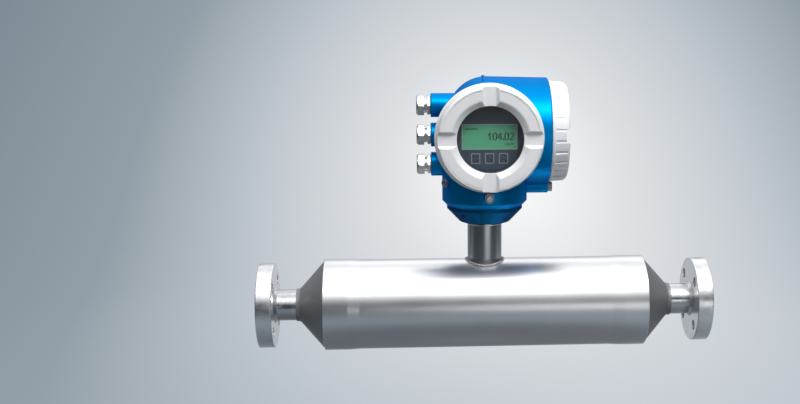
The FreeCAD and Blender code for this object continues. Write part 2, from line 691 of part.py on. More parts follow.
def display_cover():
    rear = s.display_face + s.gap
    front = rear + s.cover_depth
    spigot_end = rear - s.thread_length
    rim_front = rear + s.cover_rim
    front_r, rim_r, window_r = s.cover_front_d / 2, s.cover_d / 2, s.glass_d / 2 - s.glass_lap
    glass_front = front - s.window_rim
    glass_back = glass_front - s.glass
    retainer_back = glass_back - s.retainer
    groove_r = s.groove_d / 2
    outline = [
        (spigot_end, s.cover_bore_d / 2), (spigot_end, s.thread_d / 2), (rear, s.thread_d / 2),
        (rear, rim_r), (rim_front, rim_r, s.cover_rim_edge), (rim_front, rim_r - s.cover_step),
        (front - s.cover_face_edge, front_r + s.cover_shoulder / 2),
        (front, front_r, s.cover_face_edge / 2), (front, groove_r + s.face_groove / 2),
        (front - s.face_groove_depth, groove_r + s.face_groove / 2),
        (front - s.face_groove_depth, groove_r - s.face_groove / 2),
        (front, groove_r - s.face_groove / 2), (front, window_r + s.window_land, s.window_land_edge),
        (glass_front + s.gap, window_r), (glass_front, window_r),
        (glass_front, s.glass_d / 2 + s.seat), (glass_back, s.glass_d / 2 + s.seat),
        (glass_back, s.glass_d / 2 + s.retainer_lip),
        (retainer_back, s.glass_d / 2 + s.retainer_lip), (retainer_back, s.cover_bore_d / 2)]
    body = turned("display_cover", outline, display_at, "-y")
    first = notch(body, front, True, s.cover_d)
    pattern(body, first, notch_count, body.Group[0])
    keep("display_cover", body)
    glass = turned("window_glass", [
        (glass_back + s.seat, 0), (glass_back + s.seat, s.glass_d / 2, s.case_edge),
        (glass_front - s.seat, s.glass_d / 2, s.case_edge), (glass_front - s.seat, 0)],
        display_at, "-y")
    keep("window_glass", glass)
    keep("window_retainer", ring("window_retainer", window_r * 2,
                                 s.glass_d + s.retainer_lip * 2 - s.seat * 2,
                                 retainer_back, glass_back, display_at, "-y"))


def connection_cover():
    rear = s.connection_face_x + s.gap
    front = rear + s.blind_depth
    spigot_end = rear - s.thread_length
    plate_back = front - s.blind_recess - s.blind_plate
    rim_r, grip_r = s.blind_cover_d / 2, s.blind_grip_d / 2
    outline = [
        (spigot_end, s.cover_bore_d / 2), (spigot_end, s.thread_d / 2), (rear, s.thread_d / 2),
        (rear, rim_r, s.groove / 2), (rear + s.blind_rim, rim_r, s.groove / 2),
        (rear + s.blind_rim + s.groove, grip_r),
        (front - s.cover_shoulder, grip_r - s.groove, s.cover_shoulder / 2),
        (front, s.blind_front_d / 2), (front, s.blind_recess_d / 2, s.window_land_edge),
        (front - s.blind_recess, s.blind_recess_d / 2 - s.blind_recess),
        (front - s.blind_recess, 0), (plate_back, 0), (plate_back, s.cover_bore_d / 2)]
    body = turned("connection_cover", outline, chamber_at)
    grip = new_sketch(body, "grip_groove", "YZ_Plane")
    half, floor_half = s.grip_width / 2, s.grip_floor / 2
    draw_outline(grip, [(-half, grip_r + s.groove / 4), (-floor_half, grip_r - s.grip_groove),
                        (floor_half, grip_r - s.grip_groove), (half, grip_r + s.groove / 4)])
    grip.AttachmentOffset = FreeCAD.Placement(vector(), FreeCAD.Rotation(
        vector(0, 0, 1), 180 / driving_sizes["grip_count"]))
    bind(grip, ".AttachmentOffset.Base.z", rear + s.blind_rim + s.groove * 2)
    groove_cut = pocket(body, grip, s.blind_depth, upward=True)
    pattern(body, groove_cut, s.grip_count, body.Group[0])
    first = notch(body, front, True, s.cover_d)
    pattern(body, first, notch_count, body.Group[0])
    keep("connection_cover", body)


def cover_rings():
    """The two O-rings, each in its counterbore at the housing's mouth."""
    middle = s.ring_section / 2 + s.gap - s.ring_seat_depth
    display_ring_at = (s.display_x, -s.display_face - middle, axis_z)
    connection_ring_at = (s.connection_face_x + middle, s.chamber_y, axis_z)
    for name, at, direction in (("display_cover_ring", display_ring_at, "-y"),
                                ("connection_cover_ring", connection_ring_at, "x")):
        torus = doc.addObject("Part::Torus", name)
        bind(torus, "Radius1", s.ring_bore_d / 2 + s.ring_section / 2)
        bind(torus, "Radius2", s.ring_section / 2)
        place(torus, at, drilled_to[direction])
        keep(name, torus)


def display_parts():
    seat = s.display_face - s.seat_depth
    keep("display_carrier", ring("display_carrier", s.carrier_hole_d, s.thread_d - s.seat * 4,
                                 seat + s.seat, seat + s.carrier_plate, display_at, "-y"))
    back = seat + s.carrier_plate + s.gap
    front = back + s.module_depth
    case = turned("module_case", [
        (back, 0), (back, s.module_d / 2), (front, s.module_d / 2, s.module_edge), (front, 0)],
        display_at, "-y")
    half_w, half_h = s.lcd_width / 2, s.lcd_height / 2
    lcd_z = axis_z + s.lcd_up
    recess_front = -front - s.gap
    recess = block("lcd_recess", (s.display_x - half_w - s.seat, recess_front, lcd_z - half_h - s.seat),
                   (s.lcd_width + s.seat * 2, s.lcd_depth + s.face_plate + s.gap,
                    s.lcd_height + s.seat * 2))
    keys = []
    for i in (-1, 0, 1):
        outer = block(f"key_outline_{i + 2}", (
            s.display_x + s.key_pitch * i - s.key_width / 2, recess_front,
            axis_z - s.key_down - s.key_height / 2),
            (s.key_width, s.key_groove + s.gap, s.key_height))
        inner = block(f"key_field_{i + 2}", (
            s.display_x + s.key_pitch * i - s.key_width / 2 + s.key_groove * 2, recess_front - s.gap,
            axis_z - s.key_down - s.key_height / 2 + s.key_groove * 2),
            (s.key_width - s.key_groove * 4, s.key_groove + s.gap * 3, s.key_height - s.key_groove * 4))
        keys.append(cut(f"key_mark_{i + 2}", outer, [inner]))
    keep("display_module", cut("display_module", case, [recess, *keys]))
    panel = block("display_lcd", (s.display_x - half_w, -front + s.face_plate / 2, lcd_z - half_h),
                  (s.lcd_width, s.lcd_depth, s.lcd_height))
    keep("display_lcd", panel)


def electronics():
    seat = s.display_face - s.seat_depth
    front = seat - s.gap
    potted = turned("electronics_round", [
        (front - s.electronics_depth, 0),
        (front - s.electronics_depth, s.electronics_d / 2, s.electronics_edge),
        (front, s.electronics_d / 2), (front, 0)], display_at, "-y")
    limit = block("electronics_limit", (s.partition_x - s.gap * 3, -s.bowl_d, axis_z - s.bowl_d),
                  (s.bowl_d, s.bowl_d * 2, s.bowl_d * 2))
    keep("electronics_module", cut("electronics_module", potted, [limit]))


def terminals():
    base_x = s.partition_x + s.partition_wall + s.seat
    half = s.block_height / 2
    step = s.block_step
    outline = [(0, -half), (s.block_depth - step, -half), (s.block_depth - step, -half + step),
               (s.block_depth, -half + step), (s.block_depth, half - step),
               (s.block_depth - step, half - step), (s.block_depth - step, half), (0, half)]
    body = pad("terminal_block", outline, s.block_width, (base_x, s.chamber_y, axis_z),
               "XZ_Plane", both_ways=True)
    keep("terminal_block", body)
    screws = []
    for row in (-1, 1):
        for i in range(terminals_in_row):
            place_y = s.chamber_y + s.terminal_pitch * (i - (terminals_in_row - 1) / 2)
            screws.append(drill(f"terminal_screw_{row + 1}_{i}", s.terminal_d, s.terminal_height,
                                (base_x + s.block_depth, place_y,
                                 axis_z + s.terminal_row_gap / 2 * row), "x"))
    keep("terminal_screws", group("terminal_screws", screws))


def six_sided(name, outline, flats, start, length, step):
    """A turned outline at a cable entry, with six flats milled over its length."""
    blank = turned(f"{name}_blank", outline, entry_at(step), "-x")
    prism = hexagon(f"{name}_flats", flats, length, entry_at(step, -start), "-x")
    return shared(name, blank, prism)


def glands():
    washers = []
    bore_r = s.gland_bore_d / 2
    for name, step in zip(entry_names, entry_steps):
        at = entry_at(step)
        face = s.entry_face_x
        washers.append(ring(f"{name}_washer", s.gland_shank_d + s.seat * 2, s.washer_d, face,
                            face + s.washer_height, at, "-x"))
        flange_base = face + s.washer_height
        flange_top = flange_base + s.gland_flange
        nut_base = flange_top + s.gland_neck
        stub_end = flange_top + s.gland_stub
        cup_base = stub_end - s.gland_cup_depth
        cup_r = s.gland_cup_d / 2
        barrel = turned(f"{name}_gland_barrel", [
            (face - s.gland_shank, bore_r), (face - s.gland_shank, s.gland_shank_d / 2),
            (flange_base, s.gland_shank_d / 2), (flange_base, s.gland_stub_d / 2),
            (stub_end, s.gland_stub_d / 2), (stub_end, cup_r), (cup_base, cup_r),
            (cup_base, bore_r)], at, "-x")
        flange_r = s.gland_flats / 2 * across_corners
        flange = six_sided(f"{name}_gland_flange", [
            (flange_base, bore_r), (flange_base, flange_r - s.case_edge),
            (flange_base + s.case_edge, flange_r), (flange_top - s.case_edge, flange_r),
            (flange_top, flange_r - s.case_edge), (flange_top, bore_r)],
            s.gland_flats, flange_base, s.gland_flange, step)
        keep(f"{name}_gland", joined(f"{name}_gland", [barrel, flange]))
        wall_in = nut_base + s.nut_length - s.nut_wall
        keep(f"{name}_gland_seal", ring(f"{name}_gland_seal", s.gland_bore_d + s.seat * 4,
                                        s.gland_cup_d - s.running * 2, cup_base + s.gap,
                                        wall_in - s.gap, at, "-x"))
        nut_end = nut_base + s.nut_length
        corner_r = s.nut_flats / 2 * across_corners
        keep(f"{name}_gland_nut", six_sided(f"{name}_gland_nut", [
            (nut_base, s.gland_stub_d / 2 + s.running), (nut_base, corner_r - s.nut_edge),
            (nut_base + s.nut_edge / 2, corner_r), (nut_end - s.nut_edge * 2, corner_r),
            (nut_end, s.nut_flats / 2 - s.nut_edge), (nut_end, bore_r + s.seat * 2),
            (wall_in, bore_r + s.seat * 2), (wall_in, s.gland_stub_d / 2 + s.running)],
            s.nut_flats, nut_base, s.nut_length, step))
    keep("gland_washers", group("gland_washers", washers))


def clamp(name, at, direction):
    """A clamp tongue and its socket screw, standing out from a face along one direction."""
    half = s.clamp_width / 2
    start = s.gap
    end = s.gap + s.clamp_plate
    disc = turned(f"{name}_tip", [(start, 0), (start, s.clamp_reach), (end, s.clamp_reach), (end, 0)],
                  at, direction)
    foot = turned(f"{name}_foot", [(start, 0), (start, half), (end, half), (end, 0)], at, direction)
    if direction == "-y":
        strip = block(f"{name}_strip", (at[0] - half, at[1] - end, at[2]),
                      (s.clamp_width, s.clamp_plate, s.clamp_reach))
        socket_at = (at[0], at[1] - end + s.clamp_head / 2, at[2])
    else:
        strip = block(f"{name}_strip", (at[0] + start, at[1] - half, at[2]),
                      (s.clamp_plate, s.clamp_width, s.clamp_reach))
        socket_at = (at[0] + end - s.clamp_head / 2, at[1], at[2])
    tongue = shared(f"{name}_tongue", disc, strip)
    blank = joined(f"{name}_blank", [tongue, foot])
    shank_hole = turned(f"{name}_shank_hole", [
        (0, 0), (0, s.clamp_screw_d / 2 + s.running), (end - s.clamp_head - s.gap,
                                                      s.clamp_screw_d / 2 + s.running),
        (end - s.clamp_head - s.gap, s.clamp_counterbore_d / 2),
        (end + s.gap, s.clamp_counterbore_d / 2), (end + s.gap, 0)], at, direction)
    keep(name, cut(name, blank, [shank_hole]))
    head_base = end - s.clamp_head
    screw = turned(f"{name}_screw_blank", [
        (-s.clamp_screw_depth, 0), (-s.clamp_screw_depth, s.clamp_screw_d / 2),
        (head_base, s.clamp_screw_d / 2), (head_base, s.clamp_head_d / 2),
        (end, s.clamp_head_d / 2, s.groove / 2), (end, 0)], at, direction)
    socket = hexagon(f"{name}_socket", s.clamp_socket, s.clamp_head, socket_at, direction)
    keep(f"{name}_screw", cut(f"{name}_screw", screw, [socket]))


def earth_terminal():
    inner = earth_pad_r + s.seat
    plate = drill("earth_plate_blank", s.earth_plate_d, s.earth_plate, earth_at(inner),
                  radial=earth_direction)
    hole = drill("earth_plate_hole", s.earth_screw_d + s.seat * 2, s.earth_plate * 3,
                 earth_at(inner - s.earth_plate), radial=earth_direction)
    keep("earth_clamp", cut("earth_clamp", plate, [hole]))
    shank = drill("earth_screw_shank", s.earth_screw_d, s.earth_depth + s.earth_plate + s.seat * 2,
                  earth_at(inner - s.earth_depth), radial=earth_direction)
    head = drill("earth_screw_head", s.earth_head_d, s.earth_head,
                 earth_at(inner + s.earth_plate + s.seat), radial=earth_direction)
    socket = hexagon("earth_screw_socket", s.earth_head_d / 2, s.earth_head,
                     earth_at(inner + s.earth_plate + s.earth_head / 2), radial=earth_direction)
    keep("earth_screw", cut("earth_screw", joined("earth_screw_blank", [shank, head]), [socket]))


flow_line()
sensor_case()
measuring_parts()
neck_and_holder()
housing()
display_cover()
connection_cover()
cover_rings()
display_parts()
electronics()
terminals()
glands()
clamp("front_clamp", (s.display_x, -pad_front, front_screw_z), "-y")
clamp("side_clamp", (s.connection_face_x, s.chamber_y, side_screw_z), "x")
earth_terminal()

doc.recompute()
for obj in doc.Objects:
    if "Invalid" in obj.State or "Error" in obj.State:
        raise RuntimeError(f"{obj.Name} failed: {obj.State}")
for name, obj in nodes.items():
    if obj.Shape.isNull() or not obj.Shape.isValid() or not obj.Shape.Solids:
        raise RuntimeError(f"{name} has no valid solid")

os.makedirs("parts", exist_ok=True)
for name, obj in nodes.items():
    obj.Shape.exportStep(f"parts/{name}.step")
    box = obj.Shape.BoundBox
    print(f"{name:24s} solids {len(obj.Shape.Solids):2d}  volume {obj.Shape.Volume:11.1f}  "
          f"x {box.XMin:7.1f} {box.XMax:7.1f}  y {box.YMin:6.1f} {box.YMax:6.1f}  "
          f"z {box.ZMin:6.1f} {box.ZMax:6.1f}")
print(len(nodes), "nodes")
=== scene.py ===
import math
import re

import bmesh
import bpy
from mathutils import Euler, Matrix, Vector


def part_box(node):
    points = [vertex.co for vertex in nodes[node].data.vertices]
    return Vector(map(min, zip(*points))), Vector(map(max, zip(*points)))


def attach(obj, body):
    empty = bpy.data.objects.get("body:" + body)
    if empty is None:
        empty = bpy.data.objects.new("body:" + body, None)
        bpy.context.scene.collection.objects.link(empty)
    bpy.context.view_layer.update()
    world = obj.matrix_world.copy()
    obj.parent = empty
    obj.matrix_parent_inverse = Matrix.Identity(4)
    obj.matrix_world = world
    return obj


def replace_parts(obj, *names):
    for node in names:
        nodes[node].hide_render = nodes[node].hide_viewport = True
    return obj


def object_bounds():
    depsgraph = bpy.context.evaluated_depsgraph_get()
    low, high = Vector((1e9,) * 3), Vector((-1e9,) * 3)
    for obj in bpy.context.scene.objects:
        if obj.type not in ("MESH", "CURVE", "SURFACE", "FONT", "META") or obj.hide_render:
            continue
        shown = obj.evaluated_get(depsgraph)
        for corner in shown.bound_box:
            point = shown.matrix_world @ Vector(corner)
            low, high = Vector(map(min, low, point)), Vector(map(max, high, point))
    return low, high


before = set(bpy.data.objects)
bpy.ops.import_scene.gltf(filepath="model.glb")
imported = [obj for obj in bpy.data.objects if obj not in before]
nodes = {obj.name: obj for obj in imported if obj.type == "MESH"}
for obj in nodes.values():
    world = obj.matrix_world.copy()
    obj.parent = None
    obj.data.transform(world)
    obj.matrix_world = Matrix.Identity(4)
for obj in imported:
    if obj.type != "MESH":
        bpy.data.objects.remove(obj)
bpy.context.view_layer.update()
mm = 0.001
print("frame loaded:", len(nodes), "nodes")


# Small helpers

def linearColour(code):
    channels = [int(code[i:i + 2], 16) / 255 for i in (1, 3, 5)]
    return tuple(c / 12.92 if c <= 0.04045 else ((c + 0.055) / 1.055) ** 2.4 for c in channels) + (1.0,)


def perMetre(size):
    # how many pattern steps of a size in mm fit into one metre
    return 1000 / size


def addNode(tree, kind, sockets=None, **settings):
    # sockets: an input's name or number, with its value or the output that feeds it
    # the two colours of a Mix node are its inputs 6 and 7, and the mixed colour is its output 2
    node = tree.nodes.new("ShaderNode" + kind)
    for name, value in settings.items():
        setattr(node, name, value)
    for name, value in (sockets or {}).items():
        if isinstance(value, bpy.types.NodeSocket):
            tree.links.new(value, node.inputs[name])
        else:
            node.inputs[name].default_value = value
    return node


def newFinish(name):
    # a material with the place on the object, in metres, as its first node
    finish = bpy.data.materials.new(name)
    finish.use_nodes = True
    tree = finish.node_tree
    tree.nodes.clear()
    return finish, tree, addNode(tree, "TexCoord").outputs["Object"]


# Finishes
# Object coordinates are metres, so every pattern is scaled from its real size in millimetres.
# drift, peel, flake, lay, cloud, grain and smear are such sizes, and the heights are in millimetres too.

noiseSpread = {"From Min": 0.3, "From Max": 0.7}  # where most of a noise pattern's values lie

# Powder coat on die-cast aluminium: an even satin film with a faint orange-peel skin, whose gloss
# changes a little with the peel, and with metallic flake in the blue one.
powderCoats = {
    "blueCoat": {
        "light": "#0085c8", "dark": "#007dbf", "metallic": 0.68, "roughness": (0.38, 0.44),
        "gloss": 0.05, "edge": "#0c8fe6", "drift": 38.0, "peel": 1.6, "peelHeight": 0.035,
        "flake": 0.7, "flakeHeight": 0.010, "coat": 0.0, "coatRoughness": 0.22},
    "greyCoat": {
        "light": "#f0f1f3", "dark": "#e5e7ea", "metallic": 0.12, "roughness": (0.36, 0.48),
        "gloss": 0.5, "edge": "#ffffff", "drift": 30.0, "peel": 1.3, "peelHeight": 0.030,
        "flake": 0.6, "flakeHeight": 0.012, "coat": 0.10, "coatRoughness": 0.30},
}
# the turned adapter below the housing carries a deeper blue: painted shade, the housing's blue coat darkened
# to stand in for the shade under the display cover
powderCoats["adapterPaintedShadeCoat"] = {**powderCoats["blueCoat"],
                              "light": "#005a85", "dark": "#00537c", "edge": "#0b6ba4"}


def powderCoat(name, look):
    finish, tree, place = newFinish(name)
    drift, peel, flake = [
        addNode(tree, "TexNoise", {"Vector": place, "Scale": perMetre(look[pattern]), "Detail": detail})
        for pattern, detail in (("drift", 3.0), ("peel", 2.0), ("flake", 1.0))]
    colour = addNode(tree, "Mix", {0: drift.outputs["Fac"], 6: linearColour(look["dark"]),
                                   7: linearColour(look["light"])}, data_type="RGBA")
    low, high = look["roughness"]
    rough = addNode(tree, "MapRange", {"Value": peel.outputs["Fac"], **noiseSpread,
                                       "To Min": low, "To Max": high})
    skin = addNode(tree, "Bump", {"Height": peel.outputs["Fac"], "Distance": look["peelHeight"] * mm})
    grit = addNode(tree, "Bump", {"Height": flake.outputs["Fac"], "Distance": look["flakeHeight"] * mm,
                                  "Normal": skin.outputs["Normal"]})
    shader = addNode(tree, "BsdfPrincipled", {
        "Base Color": colour.outputs[2], "Metallic": look["metallic"], "Roughness": rough.outputs["Result"],
        "Specular IOR Level": look["gloss"], "Specular Tint": linearColour(look["edge"]),
        "Coat Weight": look["coat"], "Coat Roughness": look["coatRoughness"],
        "Normal": grit.outputs["Normal"]})
    addNode(tree, "OutputMaterial", {"Surface": shader.outputs[0]})
    return finish


# Steel worked round the pipe's axis: fine rings left by the lathe or the polishing belt.
# lay is the distance between visible marks, drawn coarser than the real 0.1 mm so that it shows.
turnedSteels = {
    # faced on the lathe: bright, with rings that break up the reflections
    "turnedFlange": {"light": "#eeeff0", "dark": "#d6d8db", "roughness": (0.26, 0.40),
                     "lay": 0.55, "layHeight": 0.012, "cloud": 16.0},
    # drawn through a die: smooth, with sharper streaks of light
    "drawnPipe": {"light": "#d5d6d8", "dark": "#b4b7bb", "roughness": (0.20, 0.30),
                  "lay": 0.8, "layHeight": 0.008, "cloud": 22.0},
    # belt polished sheet: broad soft bands of light and dark along the tube
    "polishedCase": {"light": "#e0e1e3", "dark": "#d6d8db", "roughness": (0.31, 0.34),
                     "lay": 0.9, "layHeight": 0.003, "cloud": 70.0},
    # plain machining inside the sensor: duller and uneven
    "machinedInside": {"light": "#c4c6c9", "dark": "#9fa2a6", "roughness": (0.30, 0.45),
                       "lay": 0.5, "layHeight": 0.010, "cloud": 12.0},
}
steelTones = {"From Min": 0.12, "From Max": 0.40}  # where most values of lay times cloud lie


def turnedSteel(name, look):
    finish, tree, place = newFinish(name)
    parts = addNode(tree, "SeparateXYZ", {"Vector": place})
    radial = addNode(tree, "CombineXYZ", {"Y": parts.outputs["Y"], "Z": parts.outputs["Z"]})
    radius = addNode(tree, "VectorMath", {0: radial.outputs[0]}, operation="LENGTH")
    across = addNode(tree, "Math", {0: radius.outputs["Value"], 1: parts.outputs["X"]}, operation="ADD")
    lay = addNode(tree, "TexNoise", {"W": across.outputs[0], "Scale": perMetre(look["lay"]), "Detail": 2.0},
                  noise_dimensions="1D")
    cloud = addNode(tree, "TexNoise", {"Vector": place, "Scale": perMetre(look["cloud"]), "Detail": 4.0})
    shade = addNode(tree, "Math", {0: lay.outputs["Fac"], 1: cloud.outputs["Fac"]}, operation="MULTIPLY")
    tone = addNode(tree, "MapRange", {"Value": shade.outputs[0], **steelTones})
    colour = addNode(tree, "Mix", {0: tone.outputs["Result"], 6: linearColour(look["dark"]),
                                   7: linearColour(look["light"])}, data_type="RGBA")
    low, high = look["roughness"]
    rough = addNode(tree, "MapRange", {"Value": cloud.outputs["Fac"], **noiseSpread,
                                       "To Min": low, "To Max": high})
    marks = addNode(tree, "Bump", {"Height": lay.outputs["Fac"], "Distance": look["layHeight"] * mm})
    shader = addNode(tree, "BsdfPrincipled", {
        "Base Color": colour.outputs[2], "Metallic": 1.0, "Roughness": rough.outputs["Result"],
        "Normal": marks.outputs["Normal"]})
    addNode(tree, "OutputMaterial", {"Surface": shader.outputs[0]})
    return finish


# Plain metals and plastics with an even skin
evenSkins = {
    # polished stainless tube: narrow soft streaks of light, no grain to see
    "polishedNeckSteel": {"light": "#b6b9bd", "dark": "#aeb1b5", "metallic": 1.0, "roughness": (0.27, 0.30),
                          "grain": 14.0, "grainHeight": 0.001},
    # blasted steel casting, left dark: dull, with no clear reflection
    "blastedCastCone": {"light": "#8a8b8e", "dark": "#77787b", "metallic": 0.6, "roughness": (0.42, 0.54),
                        "grain": 0.9, "grainHeight": 0.05},
    # nickel plated brass: pale, and each flat of a nut catches the light by itself
    "nickelPlate": {"light": "#cfcfce", "dark": "#c3c3c2", "metallic": 1.0, "roughness": (0.34, 0.42),
                    "grain": 1.5, "grainHeight": 0.006},
    # turned stainless heads and small parts: grey, with a soft shine
    "stainlessScrew": {"light": "#b4b8bb", "dark": "#a0a4a7", "metallic": 1.0, "roughness": (0.25, 0.38),
                       "grain": 0.8, "grainHeight": 0.010},
    # blasted stainless: a flat mid grey
    "blastedClampSteel": {"light": "#959ea6", "dark": "#89929a", "metallic": 0.8, "roughness": (0.40, 0.52),
                          "grain": 0.7, "grainHeight": 0.03},
    # moulded rubber of the seals: black and dull
    "mouldedRubber": {"light": "#202022", "dark": "#151516", "metallic": 0.0, "roughness": (0.55, 0.70),
                      "grain": 0.6, "grainHeight": 0.02},
    # pressed fibre of the washers: grey and matt
    "fibreWasher": {"light": "#8d8f92", "dark": "#76787b", "metallic": 0.0, "roughness": (0.60, 0.75),
                    "grain": 0.8, "grainHeight": 0.03},
    # printed polyester foil on the display's front: slate blue with a slight sheen
    "slateFoil": {"light": "#3f4f61", "dark": "#394858", "metallic": 0.0, "roughness": (0.34, 0.42),
                  "grain": 0.7, "grainHeight": 0.004},
    # moulded ABS of the parts inside: grey, with a fine spark-eroded grain
    "greyAbs": {"light": "#5b5e62", "dark": "#4f5256", "metallic": 0.0, "roughness": (0.45, 0.58),
                "grain": 0.7, "grainHeight": 0.012},
    # moulded polyamide of the terminals: green and satin
    "greenPolyamide": {"light": "#3c7a4c", "dark": "#316a41", "metallic": 0.0, "roughness": (0.40, 0.52),
                       "grain": 0.7, "grainHeight": 0.010},
    # enamelled copper wire: brown and satin
    "woundCoil": {"light": "#b06a35", "dark": "#8a4f26", "metallic": 0.4, "roughness": (0.35, 0.48),
                  "grain": 0.5, "grainHeight": 0.03},
    # glass melted round the pins: dark green and shiny
    "fusedGlass": {"light": "#4c6a63", "dark": "#3c5852", "metallic": 0.0, "roughness": (0.12, 0.22),
                   "grain": 1.6, "grainHeight": 0.006},
    # liquid crystal panel behind its polariser: an even pale green
    "lcdGlass": {"light": "#66c89c", "dark": "#5fbf93", "metallic": 0.0, "roughness": (0.30, 0.36),
                 "grain": 0.9, "grainHeight": 0.002},
    # dark segments of the same panel
    "lcdInk": {"light": "#14352a", "dark": "#0f2c23", "metallic": 0.0, "roughness": (0.30, 0.36),
               "grain": 0.9, "grainHeight": 0.002},
    # light grey screen print on the foil
    "printedGrey": {"light": "#b4c0c4", "dark": "#a9b6bb", "metallic": 0.0, "roughness": (0.40, 0.50),
                    "grain": 0.9, "grainHeight": 0.002},
    # dark infrared windows of the touch keys: almost black and glossy
    "sensorDark": {"light": "#131c26", "dark": "#0d151d", "metallic": 0.0, "roughness": (0.12, 0.20),
                   "grain": 1.2, "grainHeight": 0.002},
    # weld left as it cooled: bright, with a warm tint
    "weldSteel": {"light": "#b5b2ad", "dark": "#8f8d8b", "metallic": 1.0, "roughness": (0.30, 0.44),
                  "grain": 1.4, "grainHeight": 0.03},
}


def evenSkin(name, look):
    finish, tree, place = newFinish(name)
    grain = addNode(tree, "TexNoise", {"Vector": place, "Scale": perMetre(look["grain"]), "Detail": 3.0})
    colour = addNode(tree, "Mix", {0: grain.outputs["Fac"], 6: linearColour(look["dark"]),
                                   7: linearColour(look["light"])}, data_type="RGBA")
    low, high = look["roughness"]
    rough = addNode(tree, "MapRange", {"Value": grain.outputs["Fac"], **noiseSpread,
                                       "To Min": low, "To Max": high})
    skin = addNode(tree, "Bump", {"Height": grain.outputs["Fac"], "Distance": look["grainHeight"] * mm})
    shader = addNode(tree, "BsdfPrincipled", {
        "Base Color": colour.outputs[2], "Metallic": look["metallic"], "Roughness": rough.outputs["Result"],
        "Normal": skin.outputs["Normal"]})
    addNode(tree, "OutputMaterial", {"Surface": shader.outputs[0]})
    return finish


# Toughened float glass: clear, so that the display shows, with a sharp reflection.
windowGlasses = {
    "floatGlass": {"tint": "#0c1216", "opacity": 0.10, "ior": 1.5, "roughness": (0.04, 0.08), "smear": 26.0},
}


def windowGlass(name, look):
    finish, tree, place = newFinish(name)
    smear = addNode(tree, "TexNoise", {"Vector": place, "Scale": perMetre(look["smear"])})
    low, high = look["roughness"]
    rough = addNode(tree, "MapRange", {"Value": smear.outputs["Fac"], "To Min": low, "To Max": high})
    shader = addNode(tree, "BsdfPrincipled", {
        "Base Color": linearColour(look["tint"]), "Roughness": rough.outputs["Result"], "IOR": look["ior"],
        "Alpha": look["opacity"]})
    addNode(tree, "OutputMaterial", {"Surface": shader.outputs[0]})
    return finish


finishes = {}
for make, looks in ((evenSkin, evenSkins), (powderCoat, powderCoats), (turnedSteel, turnedSteels),
                    (windowGlass, windowGlasses)):
    for finishName, look in looks.items():
        finishes[finishName] = make(finishName, look)
print("finishes made:", len(finishes))

# Which finish each solid wears
finishOfNode = {
    "turnedFlange": ["inlet_flange", "outlet_flange"],
    "drawnPipe": ["inlet_pipe", "outlet_pipe", "neck_ring"],
    "polishedCase": ["sensor_case"],
    "machinedInside": ["inlet_bulkhead", "outlet_bulkhead", "measuring_tube", "carrier_tube",
                       "magnet_clamps", "balance_weight", "tube_temperature_probe",
                       "case_temperature_probe"],
    "blastedCastCone": ["inlet_cone", "outlet_cone"],
    "polishedNeckSteel": ["neck_tube"],
    "woundCoil": ["drive_coil", "inlet_pickoff_coil", "outlet_pickoff_coil"],
    "nickelPlate": ["drive_magnet", "inlet_pickoff_magnet", "outlet_pickoff_magnet", "terminal_screws",
                    "upper_gland", "middle_gland", "lower_gland",
                    "upper_gland_nut", "middle_gland_nut", "lower_gland_nut"],
    "stainlessScrew": ["holder_screw", "front_clamp_screw", "side_clamp_screw", "earth_screw",
                       "earth_clamp", "window_retainer"],
    "blastedClampSteel": ["front_clamp", "side_clamp"],
    "fusedGlass": ["feedthrough"],
    "blueCoat": ["transmitter_housing"],
    # the adapter wears the darker copy of the blue coat, painted shade
    "adapterPaintedShadeCoat": ["transmitter_holder"],
    "greyCoat": ["display_cover", "connection_cover"],
    "greyAbs": ["display_carrier", "electronics_module"],
    "greenPolyamide": ["terminal_block"],
    "mouldedRubber": ["display_cover_ring", "connection_cover_ring", "upper_gland_seal",
                      "middle_gland_seal", "lower_gland_seal"],
    "fibreWasher": ["gland_washers"],
    "slateFoil": ["display_module"],
    "lcdGlass": ["display_lcd"],
    "floatGlass": ["window_glass"],
}
for finishName, nodeNames in finishOfNode.items():
    for nodeName in nodeNames:
        solid = nodes[nodeName]
        solid.data.materials.clear()
        solid.data.materials.append(finishes[finishName])
print("solids dressed:", sum(len(names) for names in finishOfNode.values()), "of", len(nodes))


# Helpers for the pieces that the scene draws

def meshOf(form):
    bmesh.ops.recalc_face_normals(form, faces=form.faces)
    mesh = bpy.data.meshes.new("piece")
    form.to_mesh(mesh)
    form.free()
    return mesh


def addPiece(name, mesh, finish, body):
    mesh.name = name
    mesh.materials.append(finishes[finish])
    piece = bpy.data.objects.new(name, mesh)
    bpy.context.scene.collection.objects.link(piece)
    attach(piece, body)
    return piece


def fullTurn(steps):
    return [2 * math.pi * step / steps for step in range(steps)]


def joinRings(form, rings, closed):
    # smooth faces from each ring of points to the next, and from the last to the first where closed
    nextRings = rings[1:] + rings[:1] if closed else rings[1:]
    for here, after in zip(rings, nextRings):
        for t in range(len(here)):
            u = (t + 1) % len(here)
            form.faces.new((here[t], here[u], after[u], after[t])).smooth = True


def addPlate(form, outline, thick, place):
    # a flat plate with this outline, standing thick off the face that place gives
    rings = [[form.verts.new(place @ Vector((x, y, height))) for x, y in outline] for height in (0, thick)]
    form.faces.new(list(reversed(rings[0])))
    form.faces.new(rings[1])
    for i in range(len(outline)):
        j = (i + 1) % len(outline)
        form.faces.new((rings[0][i], rings[0][j], rings[1][j], rings[1][i]))


def rectangle(x, y, width, height):
    return [(x, y), (x + width, y), (x + width, y + height), (x, y + height)]


def addFrame(form, x, y, width, height, line, thick, place):
    # four bars inside a rectangle
    for bar in (rectangle(x, y, width, line), rectangle(x, y + height - line, width, line),
                rectangle(x, y + line, line, height - 2 * line),
                rectangle(x + width - line, y + line, line, height - 2 * line)):
        addPlate(form, bar, thick, place)


